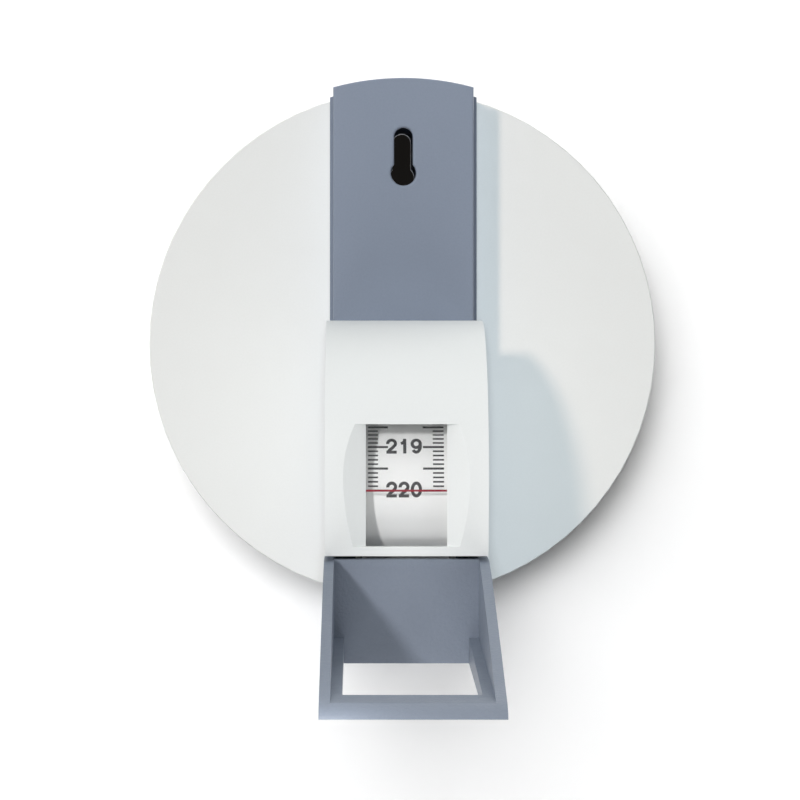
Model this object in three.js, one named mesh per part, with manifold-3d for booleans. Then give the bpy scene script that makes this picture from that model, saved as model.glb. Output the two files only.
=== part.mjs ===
// A wall-hung measuring head with a spring-wound tape for reading a person's height.
//
// Millimetres, +Z up. The wall is the plane Y = 0 and the instrument faces -Y. The origin is the
// axis of the wall screw that it hangs on. "out" is a distance from the wall, "up" a height over
// the centre of the wall disc, and "x" runs to the right as seen from the front.

import * as THREE from 'three';
import { mergeVertices } from 'three/addons/utils/BufferGeometryUtils.js';
import Module from 'manifold-3d';

const wasm = await Module();
wasm.setup();

// Fits and cuts
const fitGap = 0.3;
const runGap = 0.6;
const cutRun = 1;

// Facets on a full turn or a curve
const discSteps = 72;
const drumSteps = 48;
const smallSteps = 12;
const curveSteps = 8;
const coverSteps = 16;
const roundSteps = 3;

// Screws
const screwRadius = 1.1;
const screwHeadRadius = 2;
const screwHead = 1.4;
const screwHeadEdge = 0.4;
const screwTipRoom = 0.7;

// Wall disc and its glide pads
const discRadius = 62.5;
const discFaceOut = 10;
const discPlate = 2;
const discSkirt = 2;
const discEdgeRound = 0.5;
const discRibInset = 28.5;
const discRib = 1.6;
const discRibDepth = 4;
const slotWall = 2;
const padThick = 1.5;
const padRadius = 4;
const padInset = 6.5;
const padCount = 4;

// Tape
const tapeWidth = 20;
const tapeThick = 0.26;
const tapeTurns = 18;
const tapeRoom = 2.4;
const tapeLift = 0.1;

// Hanger on the wall screw
const hangDrop = 50;
const hangerFootUp = 2;
const hangerRise = 1.7;
const hangerWall = 1.8;
const hangerTopWall = 2;
const hangerFoot = 2;
const hangerLip = 2;
const hangerLipOver = 1.1;
const hangerEdge = 0.5;
const backPlate = 3;
const backPlateInset = 0.6;
const keyRadius = 3.05;
const keyDrop = 8.7;
const keySlotRadius = 2.25;
const plateScrewX = 10;
const plateScrewRise = 13;
const plateScrewGrip = 9;

// Clamp for the end of the tape
const clampRise = 11;
const clampHeight = 7;
const clampThick = 2.2;
const clampEdge = 0.4;
const clampSeat = 5.8;
const clampSeatHeight = 9;
const tapeWayRoom = 1.8;

// Spine of the carriage
const railWidth = 1.6;
const spinePlate = 2.3;
const spineFootDrop = 6;
const postRadius = 2.3;
const postSink = 0.4;
const postTopDrop = 5;
const postFootRise = 4.5;
const bumperHeight = 5;
const bumperWidth = 21;
const bumperDepth = 2.8;
const bumperEdge = 1;
const ledgeThick = 2.2;

// Drum, its shaft and its spring
const rollRadius = 22;
const drumDrop = 33;
const hubWall = 1.7;
const flangeRise = 1.6;
const flangeThick = 1.1;
const axleRadius = 2;
const axleEnd = 0.2;
const arborWall = 1.9;
const arborEnd = 1.1;
const bushWall = 1.2;
const bushCollarWidth = 3;
const bushCollar = 1;
const springStrip = 0.4;
const springTurns = 7;
const springStepsPerTurn = 12;
const springEnd = 0.7;
const clipWall = 1.5;
const clipThick = 0.6;
const clipMouthDegrees = 80;

// Cheeks that carry the drum
const cheekThick = 1.5;
const cheekFootWidth = 4.5;
const cheekFootDrop = 7;
const cheekHeadRun = 11.4;
const cheekEndRadius = 7.5;
const cheekScrewRoom = 0.4;
const cheekScrewInset = 5;
const guideRadius = 1.3;
const guideEdge = 1.1;

// Cover, window and pane
const coverWall = 2;
const coverThinWall = 1.1;
const coverSideRoom = 0.7;
const coverHide = 3.9;
const coverShoulderBack = 2;
const coverTopFall = 0.3;
const coverCrownRise = 2.5;
const coverTuck = 2;
const coverBlockWall = 0.6;
const coverBlockDepth = 10;
const coverSill = 2.1;
const windowLap = 1.8;
const windowTopRise = 14;
const windowFootDrop = 13.4;
const windowDepth = 3.5;
const windowFlank = 1.45;
const frameWall = 1.7;
const paneLap = 2.4;
const paneFootLap = 1.2;
const paneThick = 1;
const lineDrop = 1;
const lineWidth = 0.45;
const lineThick = 0.15;

// Head stop
const stopGap = 1.1;
const stopWall = 2.2;
const stopBackWall = 2.4;
const stopFloor = 2.4;
const stopOver = 0.2;
const stopBelowDisc = 8.5;
const heelGap = 0.7;
const heelWallGap = 1.5;
const rimTuck = 3;
const rimBendRun = 18;
const rimBendDrop = 3.4;
const rimLength = 65.5;
const rimEndRise = 3.4;
const noseRun = 5.1;
const noseRise = 2;
const noseFootRun = 5.3;
const pocketInset = 5.7;
const pocketBackWall = 2;
const pocketFloor = 5.7;
const pocketFall = 0.041;
const gripShelf = 2.2;
const gripTaper = 0.1;
const gripBar = 5.3;
const gripRound = 0.5;
const stopScrewX = 9;
const stopScrewDrop = 5.4;

// Places outwards from the wall
const discBackOut = discFaceOut - discPlate;
const discCoreOut = discFaceOut - discPlate / 2;
const spineFaceOut = discFaceOut + spinePlate;
const cheekBackOut = spineFaceOut + fitGap;
const cheekFaceOut = cheekBackOut + cheekThick;
const tapeFrontOut = cheekFaceOut + screwHead + tapeRoom;
const tapeBackOut = tapeFrontOut - tapeThick;
const clampFrontOut = tapeBackOut - fitGap;
const clampBackOut = clampFrontOut - clampThick;
const seatFaceOut = tapeFrontOut + fitGap;
const lipBackOut = seatFaceOut + clampSeat;
const lipCoreOut = lipBackOut + hangerLip / 2;
const hangerFrontOut = lipBackOut + hangerLip;
const shellBackOut = backPlate + fitGap;
const railFrontOut = lipBackOut - fitGap;
const coverBackOut = railFrontOut + fitGap;
const drumOut = tapeFrontOut + tapeLift + rollRadius;
const flangeRadius = rollRadius + flangeRise;
const guideOut = tapeFrontOut + runGap + guideRadius;
const paneBackOut = drumOut + flangeRadius + runGap;
const paneFrontOut = paneBackOut + paneThick;
const windowSeatOut = paneFrontOut + fitGap;
const coverFrontOut = windowSeatOut + windowDepth;
const coverShoulderOut = drumOut - coverShoulderBack;
const stopBackOut = cheekBackOut;
const stopBackFaceOut = stopBackOut + stopBackWall;
const pocketBackOut = coverFrontOut - pocketInset;
const rimStartOut = coverFrontOut - rimTuck;
const rimEndOut = rimStartOut + rimLength;
const gripFrontOut = rimEndOut - gripBar;

// Places up and down
const hangerTopRadius = discRadius + hangerRise;
const shellTopRadius = hangerTopRadius - backPlateInset;
const slotFootUp = hangerFootUp - fitGap;
const keyUp = hangDrop - keyDrop;
const clampUp = hangerFootUp + clampRise;
const plateScrewUp = clampUp + plateScrewRise;
const ledgeTopUp = slotFootUp - bumperHeight;
const postTopUp = hangerFootUp - postTopDrop;
const cheekTopUp = postTopUp - postRadius - fitGap;
const drumUp = hangerFootUp - drumDrop;
const cheekFootUp = drumUp - cheekFootDrop;
const guideUp = cheekTopUp - guideEdge - guideRadius;
const windowTopUp = drumUp + windowTopRise;
const windowFootUp = drumUp - windowFootDrop;
const lineUp = drumUp - lineDrop;
const coverTopUp = hangerFootUp + coverHide;
const coverCrownUp = drumUp + coverCrownRise;
const coverFootUp = windowFootUp - coverSill;
const postFootUp = coverFootUp + postFootRise;
const stopTopUp = coverFootUp - stopGap;
const stopFootUp = -discRadius - stopBelowDisc;
const heelTopUp = -discRadius - heelGap;
const stopScrewUp = stopTopUp - stopScrewDrop;
const spineFootUp = stopScrewUp - spineFootDrop;
const pocketFloorUp = stopFootUp + pocketFloor;

// Half widths and places across
const holeRadius = screwRadius + fitGap;
const tapeHalf = tapeWidth / 2;
const flangeInsideX = tapeHalf + fitGap;
const bushSpigot = flangeThick + fitGap;
const cheekInsideX = flangeInsideX + bushSpigot + bushCollar + fitGap;
const clipInsideX = cheekInsideX + cheekThick + fitGap;
const axleHalf = clipInsideX + clipThick + axleEnd;
const arborHalf = flangeInsideX - arborEnd;
const springHalf = arborHalf - springEnd;
const coverInsideHalf = axleHalf + coverSideRoom;
const coverHalf = coverInsideHalf + coverWall;
const lipHalf = coverHalf - coverThinWall - fitGap;
const hangerHalf = lipHalf - hangerLipOver;
const slotHalf = hangerHalf + fitGap;
const railOuter = slotHalf + railWidth;
const postX = slotHalf - postRadius + postSink;
const clampScrewX = tapeHalf + fitGap + holeRadius;
const clampHalf = clampScrewX + holeRadius + clampEdge;
const cheekScrewX = cheekInsideX - screwHeadRadius - cheekScrewRoom;
const windowHalf = (tapeWidth - windowLap) / 2;
const paneHalf = windowHalf + paneLap;
const rebateHalf = paneHalf + fitGap;
const coverBlockHalf = holeRadius + coverBlockWall;
const stopHalf = coverHalf + stopOver;
const stopInsideHalf = stopHalf - stopWall;
const gripHalf = stopInsideHalf - gripShelf;
const padCircle = discRadius - discSkirt - padRadius - padInset;
const discRibRadius = discRadius - discRibInset;

// Round pieces about the drum's axis
const axleBore = axleRadius + fitGap;
const arborRadius = axleBore + arborWall;
const flangeBore = axleBore + bushWall + fitGap;
const hubRadius = rollRadius - tapeThick * tapeTurns - fitGap;
const hubInsideRadius = hubRadius - hubWall;

// Outlines are drawn in three flat views and pushed into solids: the side view is (out, up), the
// front view (x, up) and the top view (x, out).
const basis = (a, b, c) => new THREE.Matrix4().makeBasis(
  new THREE.Vector3(...a),
  new THREE.Vector3(...b),
  new THREE.Vector3(...c),
);
const sideView = basis([0, -1, 0], [0, 0, 1], [-1, 0, 0]);
const frontView = basis([1, 0, 0], [0, 0, 1], [0, -1, 0]);
const topView = basis([1, 0, 0], [0, -1, 0], [0, 0, -1]);

function extrude(outline, depth, start, view, segments = curveSteps) {
  const geometry = new THREE.ExtrudeGeometry(outline, {
    depth,
    bevelEnabled: false,
    curveSegments: segments,
  });
  return geometry.translate(0, 0, start).applyMatrix4(view);
}

const pushAcross = (outline, half, segments) => extrude(outline, 2 * half, -half, sideView, segments);
const pushSide = (outline, x0, x1) => extrude(outline, x1 - x0, -x1, sideView);
const pushOut = (outline, out0, out1) => extrude(outline, out1 - out0, out0, frontView);
const pushUp = (outline, up0, up1, segments) => extrude(outline, up1 - up0, -up1, topView, segments);

// A closed profile of (radius, along) turned about the wall's normal or about the x axis
const profile = (points) => points.map(([radius, along]) => new THREE.Vector2(radius, along));
const turnOut = (points, steps) => new THREE.LatheGeometry(profile(points), steps).rotateX(Math.PI);
const turnAcross = (points, steps) => new THREE.LatheGeometry(profile(points), steps)
  .rotateZ(-Math.PI / 2);

const rodProfile = (radius, from, to) => [[0, from], [radius, from], [radius, to], [0, to]];
const ringProfile = (inner, outer, from, to) => [
  [inner, from],
  [outer, from],
  [outer, to],
  [inner, to],
  [inner, from],
];

const rod = (radius, out0, out1, steps = smallSteps) => turnOut(rodProfile(radius, out0, out1), steps);

function block(x0, x1, out0, out1, up0, up1) {
  return new THREE.BoxGeometry(x1 - x0, out1 - out0, up1 - up0)
    .translate((x0 + x1) / 2, -(out0 + out1) / 2, (up0 + up1) / 2);
}

function outlineOf(points) {
  const shape = new THREE.Shape();
  points.forEach(([u, v], index) => (index ? shape.lineTo(u, v) : shape.moveTo(u, v)));
  return shape;
}

// Solids are joined and cut as manifolds
function solidOf(geometry) {
  const bare = geometry.clone();
  bare.deleteAttribute('normal');
  bare.deleteAttribute('uv');
  const merged = mergeVertices(bare);
  return new wasm.Manifold(new wasm.Mesh({
    numProp: 3,
    vertProperties: new Float32Array(merged.attributes.position.array),
    triVerts: new Uint32Array(merged.index.array),
  }));
}

function geometryOf(solid) {
  const mesh = solid.getMesh();
  const geometry = new THREE.BufferGeometry();
  const positions = new Float32Array(mesh.vertProperties);
  geometry.setAttribute('position', new THREE.BufferAttribute(positions, 3));
  geometry.setIndex(new THREE.BufferAttribute(new Uint32Array(mesh.triVerts), 1));
  return geometry;
}

const join = (...parts) => geometryOf(parts.map(solidOf).reduce((sum, part) => sum.add(part)));
const common = (a, b) => geometryOf(solidOf(a).intersect(solidOf(b)));
const cut = (body, ...tools) => geometryOf(
  tools.map(solidOf).reduce((rest, tool) => rest.subtract(tool), solidOf(body)),
);

const at = (geometry, x, up) => geometry.translate(x, 0, up);
const sides = (make) => [-1, 1].map(make);
const inOrder = (a, b) => [Math.min(a, b), Math.max(a, b)];
const postPlaces = [postTopUp, postFootUp].flatMap((up) => sides((side) => [side * postX, up]));

// Materials
function finish(color, roughness, metalness = 0) {
  return new THREE.MeshStandardMaterial({ color, roughness, metalness });
}

const greyShell = finish(0x87909f, 0.5);
const greyStop = finish(0x8a94a5, 0.5);
const whiteDisc = finish(0xe9ebe9, 0.55);
const whiteCover = finish(0xecefee, 0.4);
const innerPlastic = finish(0xd9d8d2, 0.5);
const steel = finish(0xb8bcc2, 0.35, 1);
const springSteel = finish(0x767c84, 0.4, 1);
const tapeFilm = finish(0xf3f4f3, 0.45);
const clearPane = new THREE.MeshStandardMaterial({
  color: 0xf4f7f8,
  roughness: 0.08,
  transparent: true,
  opacity: 0.2,
});
const redInk = finish(0xd02026, 0.5);
const darkRubber = finish(0x2f3134, 0.8);
const greyFelt = finish(0x8f9193, 0.95);

// Wall disc: a dished plate with a slot for the hanger
function padPlaces() {
  return Array.from({ length: padCount }, (_, index) => {
    const angle = (2 * Math.PI * (index + 1 / 2)) / padCount;
    return [padCircle * Math.cos(angle), padCircle * Math.sin(angle)];
  });
}

function wallDisc() {
  const inner = discRadius - discSkirt;
  const plate = turnOut([
    [0, discBackOut],
    [inner, discBackOut],
    [inner, padThick],
    [discRadius, padThick],
    [discRadius, discFaceOut - discEdgeRound],
    [discRadius - discEdgeRound, discFaceOut],
    [0, discFaceOut],
  ], discSteps);
  const ring = turnOut(
    ringProfile(discRibRadius, discRibRadius + discRib, discBackOut - discRibDepth, discCoreOut),
    drumSteps,
  );
  const seats = padPlaces().map(([x, up]) => at(rod(padRadius, padThick, discCoreOut), x, up));
  const borderHalf = slotHalf + slotWall;
  const border = common(
    block(-borderHalf, borderHalf, padThick, discCoreOut, slotFootUp - slotWall, discRadius),
    rod(discRadius - discSkirt / 2, 0, discFaceOut, discSteps),
  );
  const slot = block(-slotHalf, slotHalf, -cutRun, discFaceOut + cutRun,
    slotFootUp, discRadius + cutRun);
  const holes = postPlaces.map(([x, up]) => at(rod(holeRadius, 0, discFaceOut + cutRun), x, up));
  return cut(join(plate, ring, border, ...seats), slot, ...holes);
}

// Hanger: a hollow shell with a keyhole, closed at the wall by a flat plate
function topArcOutline(half, radius, footUp) {
  const sweep = Math.asin(half / radius);
  const shape = new THREE.Shape();
  shape.moveTo(-half, footUp);
  shape.lineTo(half, footUp);
  shape.absarc(0, 0, radius, Math.PI / 2 - sweep, Math.PI / 2 + sweep);
  shape.closePath();
  return shape;
}

function keyholeOutline() {
  const shoulder = Math.acos(keySlotRadius / keyRadius);
  const shoulderUp = keyUp + keyRadius * Math.sin(shoulder);
  const shape = new THREE.Shape();
  shape.moveTo(keySlotRadius, shoulderUp);
  shape.lineTo(keySlotRadius, hangDrop);
  shape.absarc(0, hangDrop, keySlotRadius, 0, Math.PI);
  shape.lineTo(-keySlotRadius, shoulderUp);
  shape.absarc(0, keyUp, keyRadius, Math.PI - shoulder, 2 * Math.PI + shoulder);
  return shape;
}

function hangerLipPlate() {
  const half = lipHalf - hangerEdge;
  const outline = topArcOutline(half, hangerTopRadius - hangerEdge, hangerFootUp + hangerEdge);
  const geometry = new THREE.ExtrudeGeometry(outline, {
    depth: hangerLip - hangerEdge,
    bevelThickness: hangerEdge,
    bevelSize: hangerEdge,
    bevelSegments: 2,
    curveSegments: curveSteps,
  });
  const lip = geometry.translate(0, 0, lipBackOut).applyMatrix4(frontView);
  return cut(lip, block(-coverHalf, coverHalf, 0, lipBackOut, 0, hangerTopRadius + cutRun));
}

function hangerShell() {
  const outline = topArcOutline(hangerHalf, shellTopRadius, hangerFootUp);
  const walls = pushOut(outline, shellBackOut, lipCoreOut);
  const hollow = pushOut(
    topArcOutline(hangerHalf - hangerWall, shellTopRadius - hangerTopWall, hangerFootUp + hangerFoot),
    shellBackOut - cutRun,
    lipBackOut,
  );
  const wayHalf = tapeHalf + runGap;
  const tapeWay = block(-wayHalf, wayHalf, tapeBackOut - tapeWayRoom, lipBackOut,
    hangerFootUp - cutRun, hangerFootUp + hangerFoot + cutRun);
  const seatUp = [clampUp - clampSeatHeight / 2, clampUp + clampSeatHeight / 2];
  const seat = block(-clampHalf, clampHalf, seatFaceOut, lipCoreOut, ...seatUp);
  const posts = sides((side) => at(
    rod(postRadius, shellBackOut, lipCoreOut),
    side * plateScrewX,
    plateScrewUp,
  ));
  const clampHoles = sides((side) => at(
    rod(holeRadius, seatFaceOut - cutRun, lipBackOut),
    side * clampScrewX,
    clampUp,
  ));
  const plateHoles = sides((side) => at(
    rod(holeRadius, 0, backPlate + plateScrewGrip),
    side * plateScrewX,
    plateScrewUp,
  ));
  const keyhole = pushOut(keyholeOutline(), lipBackOut - cutRun, hangerFrontOut + cutRun);
  const shell = cut(join(hangerLipPlate(), walls), hollow, tapeWay);
  return cut(join(shell, seat, ...posts), ...clampHoles, ...plateHoles, keyhole);
}

function hangerBackPlate() {
  const plate = pushOut(topArcOutline(hangerHalf, shellTopRadius, hangerFootUp), 0, backPlate);
  const keyhole = pushOut(keyholeOutline(), -cutRun, backPlate + cutRun);
  const holes = sides((side) => at(
    rod(holeRadius, -cutRun, backPlate + cutRun),
    side * plateScrewX,
    plateScrewUp,
  ));
  const sinks = sides((side) => at(
    rod(screwHeadRadius + fitGap, -cutRun, screwHead + fitGap),
    side * plateScrewX,
    plateScrewUp,
  ));
  return cut(plate, keyhole, ...holes, ...sinks);
}

function tapeClampBar() {
  const bar = block(-clampHalf, clampHalf, clampBackOut, clampFrontOut,
    clampUp - clampHeight / 2, clampUp + clampHeight / 2);
  const holes = sides((side) => at(
    rod(holeRadius, 0, clampFrontOut + cutRun),
    side * clampScrewX,
    clampUp,
  ));
  return cut(bar, ...holes);
}

// Free tape between the clamp and the back of the roll
function tapeRun() {
  return block(-tapeHalf, tapeHalf, tapeBackOut, tapeFrontOut, drumUp, clampUp + clampHeight / 2);
}

// Spine: the plate on the disc, with rails that the hanger slides between
function carriageSpine() {
  const plate = block(-railOuter, railOuter, discFaceOut, spineFaceOut, spineFootUp, slotFootUp);
  const rails = sides((side) => block(
    ...inOrder(side * slotHalf, side * railOuter),
    discFaceOut,
    railFrontOut,
    coverFootUp,
    discRadius,
  ));
  const ledgeHalf = bumperWidth / 2 + bumperEdge;
  const ledge = block(-ledgeHalf, ledgeHalf, discFaceOut + spinePlate / 2,
    cheekBackOut + bumperDepth, ledgeTopUp - ledgeThick, ledgeTopUp);
  const posts = postPlaces.map(([x, up]) => at(rod(postRadius, discFaceOut, railFrontOut), x, up));
  const body = common(
    join(plate, ledge, ...rails, ...posts),
    rod(discRadius - discEdgeRound / 2, 0, railFrontOut + cutRun, discSteps),
  );
  const through = (x, up) => at(rod(holeRadius, 0, railFrontOut + cutRun), x, up);
  return cut(
    body,
    ...postPlaces.map(([x, up]) => through(x, up)),
    ...sides((side) => through(side * stopScrewX, stopScrewUp)),
    ...sides((side) => through(side * cheekScrewX, cheekTopUp - cheekScrewInset)),
    ...sides((side) => through(side * cheekScrewX, cheekFootUp + cheekScrewInset)),
  );
}

function stopBumper() {
  const half = bumperWidth / 2;
  return block(-half, half, cheekBackOut, cheekBackOut + bumperDepth, ledgeTopUp, slotFootUp);
}

// Cover: a top that falls back to the wall, a shoulder and a front that tucks in at its foot
function coverOutline(wall, backOut, footUp) {
  const front = coverFrontOut - wall;
  const top = coverTopUp - wall;
  const shape = new THREE.Shape();
  shape.moveTo(backOut, footUp);
  shape.lineTo(front - coverTuck, footUp);
  shape.quadraticCurveTo(front, (coverCrownUp + coverFootUp) / 2, front, coverCrownUp);
  const reach = front - coverShoulderOut;
  shape.absellipse(coverShoulderOut, coverCrownUp, reach, top - coverCrownUp, 0, Math.PI / 2);
  shape.lineTo(backOut, top - coverTopFall * (coverShoulderOut - backOut));
  shape.closePath();
  return shape;
}

function coverBlocks() {
  const wallX = coverHalf - coverWall / 2;
  return postPlaces.map(([x, up]) => block(
    ...inOrder(x - Math.sign(x) * coverBlockHalf, Math.sign(x) * wallX),
    coverBackOut,
    coverBackOut + coverBlockDepth,
    up - coverBlockHalf,
    up + coverBlockHalf,
  ));
}

function windowRecess() {
  const flankRun = windowDepth + cutRun;
  const mouthHalf = windowHalf + windowFlank * flankRun;
  return pushUp(outlineOf([
    [-windowHalf, windowSeatOut],
    [windowHalf, windowSeatOut],
    [mouthHalf, windowSeatOut + flankRun],
    [-mouthHalf, windowSeatOut + flankRun],
  ]), windowFootUp, windowTopUp);
}

function windowCover() {
  const outer = pushAcross(coverOutline(0, coverBackOut, coverFootUp), coverHalf, coverSteps);
  const inside = coverOutline(coverWall, coverBackOut - cutRun, coverFootUp - cutRun);
  const inner = pushAcross(inside, coverInsideHalf, coverSteps);
  const frameHalf = rebateHalf + frameWall;
  const frameTopUp = windowTopUp + paneLap + fitGap + frameWall;
  const frame = common(
    block(-frameHalf, frameHalf, paneBackOut, coverFrontOut, coverFootUp, frameTopUp),
    outer,
  );
  const opening = block(-windowHalf, windowHalf, paneBackOut - cutRun, windowSeatOut + cutRun,
    windowFootUp, windowTopUp);
  const rebate = block(-rebateHalf, rebateHalf, paneBackOut - cutRun, windowSeatOut,
    windowFootUp - paneFootLap - fitGap, windowTopUp + paneLap + fitGap);
  const wayHalf = lipHalf + fitGap;
  const hangerWay = block(-wayHalf, wayHalf, coverBackOut - cutRun, hangerFrontOut + fitGap,
    slotFootUp, coverTopUp + cutRun);
  const holes = postPlaces.map(([x, up]) => at(
    rod(holeRadius, 0, coverBackOut + coverBlockDepth - screwTipRoom),
    x,
    up,
  ));
  const shell = join(cut(outer, inner), frame, ...coverBlocks());
  return cut(shell, rebate, opening, windowRecess(), hangerWay, ...holes);
}

function windowPane() {
  return block(-paneHalf, paneHalf, paneBackOut, paneFrontOut,
    windowFootUp - paneFootLap, windowTopUp + paneLap);
}

function readingLine() {
  return block(-windowHalf, windowHalf, paneFrontOut, paneFrontOut + lineThick,
    lineUp - lineWidth / 2, lineUp + lineWidth / 2);
}

// Head stop: a tray whose side walls sweep down to a rounded nose, open below for the fingers
function stopOutline() {
  const shape = new THREE.Shape();
  shape.moveTo(heelWallGap, stopFootUp);
  shape.lineTo(rimEndOut + noseFootRun, stopFootUp);
  shape.quadraticCurveTo(
    rimEndOut + noseRun,
    stopFootUp + noseRise,
    rimEndOut,
    stopFootUp + rimEndRise,
  );
  shape.quadraticCurveTo(rimStartOut + rimBendRun, stopTopUp - rimBendDrop, rimStartOut, stopTopUp);
  shape.lineTo(stopBackOut, stopTopUp);
  shape.lineTo(stopBackOut, heelTopUp);
  shape.lineTo(heelWallGap, heelTopUp);
  shape.closePath();
  return shape;
}

function gripOutline() {
  const roundX = gripHalf - gripTaper - gripRound;
  const roundOut = gripFrontOut - gripRound;
  const shape = new THREE.Shape();
  shape.moveTo(-gripHalf, pocketBackOut);
  shape.lineTo(gripHalf, pocketBackOut);
  shape.absarc(roundX, roundOut, gripRound, 0, Math.PI / 2);
  shape.absarc(-roundX, roundOut, gripRound, Math.PI / 2, Math.PI);
  shape.closePath();
  return shape;
}

function headStop() {
  const body = pushAcross(stopOutline(), stopHalf, coverSteps);
  const topRun = stopTopUp + cutRun;
  const pocketRun = rimEndOut + noseRun + cutRun - pocketBackOut;
  const pocket = pushAcross(outlineOf([
    [pocketBackOut, pocketFloorUp],
    [pocketBackOut + pocketRun, pocketFloorUp - pocketFall * pocketRun],
    [pocketBackOut + pocketRun, topRun],
    [pocketBackOut, topRun],
  ]), stopInsideHalf, coverSteps);
  const rear = block(-stopInsideHalf, stopInsideHalf, stopBackFaceOut, pocketBackOut - pocketBackWall,
    stopFootUp + stopFloor, topRun);
  const grip = pushUp(gripOutline(), stopFootUp - cutRun, topRun, roundSteps);
  const holes = sides((side) => at(
    rod(holeRadius, 0, stopBackFaceOut + cutRun),
    side * stopScrewX,
    stopScrewUp,
  ));
  return cut(body, pocket, rear, grip, ...holes);
}

// Cheeks: two brackets on the spine with the drum between them
function drumCheek(side) {
  const shape = new THREE.Shape();
  shape.moveTo(cheekBackOut, cheekFootUp);
  shape.lineTo(drumOut, drumUp - cheekEndRadius);
  shape.absarc(drumOut, drumUp, cheekEndRadius, -Math.PI / 2, Math.PI / 2);
  shape.lineTo(cheekBackOut + cheekHeadRun, cheekTopUp);
  shape.lineTo(cheekBackOut, cheekTopUp);
  shape.closePath();
  const plate = pushSide(shape, ...inOrder(side * cheekInsideX, side * (cheekInsideX + cheekThick)));
  const foot = block(
    ...inOrder(side * (cheekInsideX - cheekFootWidth), side * (cheekInsideX + cheekThick / 2)),
    cheekBackOut,
    cheekFaceOut,
    cheekFootUp,
    cheekTopUp,
  );
  const crossHole = (radius, out, up) => turnAcross(
    rodProfile(radius, -coverHalf, coverHalf),
    smallSteps,
  ).translate(0, -out, up);
  const screwHole = (up) => at(rod(holeRadius, 0, cheekFaceOut + cutRun), side * cheekScrewX, up);
  return cut(
    join(plate, foot),
    crossHole(axleBore, drumOut, drumUp),
    crossHole(guideRadius + fitGap, guideOut, guideUp),
    screwHole(cheekTopUp - cheekScrewInset),
    screwHole(cheekFootUp + cheekScrewInset),
  );
}

function tapeGuidePin() {
  const half = cheekInsideX + cheekThick;
  return turnAcross(rodProfile(guideRadius, -half, half), smallSteps);
}

function axleClip() {
  const mouth = (clipMouthDegrees * Math.PI) / 360;
  const shape = new THREE.Shape();
  shape.absarc(0, 0, axleBore + clipWall, mouth, 2 * Math.PI - mouth);
  shape.absarc(0, 0, axleBore, 2 * Math.PI - mouth, mouth, true);
  shape.closePath();
  return pushSide(shape, 0, clipThick);
}

// Drum pieces, about the drum's own axis
function drumHub() {
  return turnAcross(ringProfile(hubInsideRadius, hubRadius, -flangeInsideX, flangeInsideX), drumSteps);
}

function drumFlange() {
  return turnAcross(ringProfile(flangeBore, flangeRadius, 0, flangeThick), drumSteps);
}

function axleBush() {
  return turnAcross([
    [axleBore, 0],
    [axleBore + bushWall, 0],
    [axleBore + bushWall, bushSpigot],
    [axleRadius + bushCollarWidth, bushSpigot],
    [axleRadius + bushCollarWidth, bushSpigot + bushCollar],
    [axleBore, bushSpigot + bushCollar],
    [axleBore, 0],
  ], smallSteps);
}

// The outer turn of the tape ends in a step where the free tape leaves it, at the back
function woundTape() {
  const points = Array.from({ length: drumSteps + 1 }, (_, index) => {
    const turn = index / drumSteps;
    const angle = Math.PI * (1 + 2 * turn);
    const radius = rollRadius - tapeThick * turn;
    return [radius * Math.cos(angle), radius * Math.sin(angle)];
  });
  const shape = outlineOf(points);
  const bore = new THREE.Path();
  bore.absarc(0, 0, hubRadius + fitGap, 0, 2 * Math.PI, true);
  shape.holes.push(bore);
  return pushAcross(shape, tapeHalf, drumSteps / 2);
}

// A flat strip wound in a spiral from the arbor to the hub
function powerSpring() {
  const inside = arborRadius + runGap;
  const outside = hubInsideRadius - fitGap - springStrip;
  const count = springTurns * springStepsPerTurn;
  const spot = (step, offset) => {
    const share = step / count;
    const radius = inside + (outside - inside) * share + offset;
    const angle = 2 * Math.PI * springTurns * share;
    return [radius * Math.cos(angle), radius * Math.sin(angle)];
  };
  const steps = Array.from({ length: count + 1 }, (_, index) => index);
  const outer = steps.map((step) => spot(step, springStrip));
  const inner = steps.map((step) => spot(step, 0)).reverse();
  return pushAcross(outlineOf([...outer, ...inner]), springHalf);
}

function drumAxle() {
  return turnAcross(rodProfile(axleRadius, -axleHalf, axleHalf), smallSteps);
}

function springArbor() {
  return turnAcross(ringProfile(axleBore, arborRadius, -arborHalf, arborHalf), smallSteps);
}

// Screws point outwards from the wall, with the seat of the head at zero
function screw(length) {
  return turnOut([
    [0, -screwHead],
    [screwHeadRadius - screwHeadEdge, -screwHead],
    [screwHeadRadius, -screwHead + screwHeadEdge],
    [screwHeadRadius, 0],
    [screwRadius, 0],
    [screwRadius, length],
    [0, length],
  ], smallSteps);
}

// Assembly
const instrument = new THREE.Group();
instrument.position.z = -hangDrop;
const drum = new THREE.Group();
drum.position.set(0, -drumOut, drumUp);
instrument.add(drum);

function place(parent, name, geometry, material, x = 0, out = 0, up = 0, turned = false) {
  const mesh = new THREE.Mesh(geometryOf(solidOf(geometry)), material);
  mesh.name = name;
  mesh.position.set(x, -out, up);
  if (turned) mesh.rotation.z = Math.PI;
  parent.add(mesh);
}

place(instrument, 'hanger_shell', hangerShell(), greyShell);
place(instrument, 'hanger_back_plate', hangerBackPlate(), greyShell);
place(instrument, 'tape_clamp_bar', tapeClampBar(), steel);
place(instrument, 'tape_run', tapeRun(), tapeFilm);
place(instrument, 'wall_disc', wallDisc(), whiteDisc);
place(instrument, 'carriage_spine', carriageSpine(), greyShell);
place(instrument, 'stop_bumper', stopBumper(), darkRubber);
place(instrument, 'window_cover', windowCover(), whiteCover);
place(instrument, 'window_pane', windowPane(), clearPane);
place(instrument, 'reading_line', readingLine(), redInk);
place(instrument, 'head_stop', headStop(), greyStop);
place(instrument, 'tape_guide_pin', tapeGuidePin(), steel, 0, guideOut, guideUp);

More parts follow.
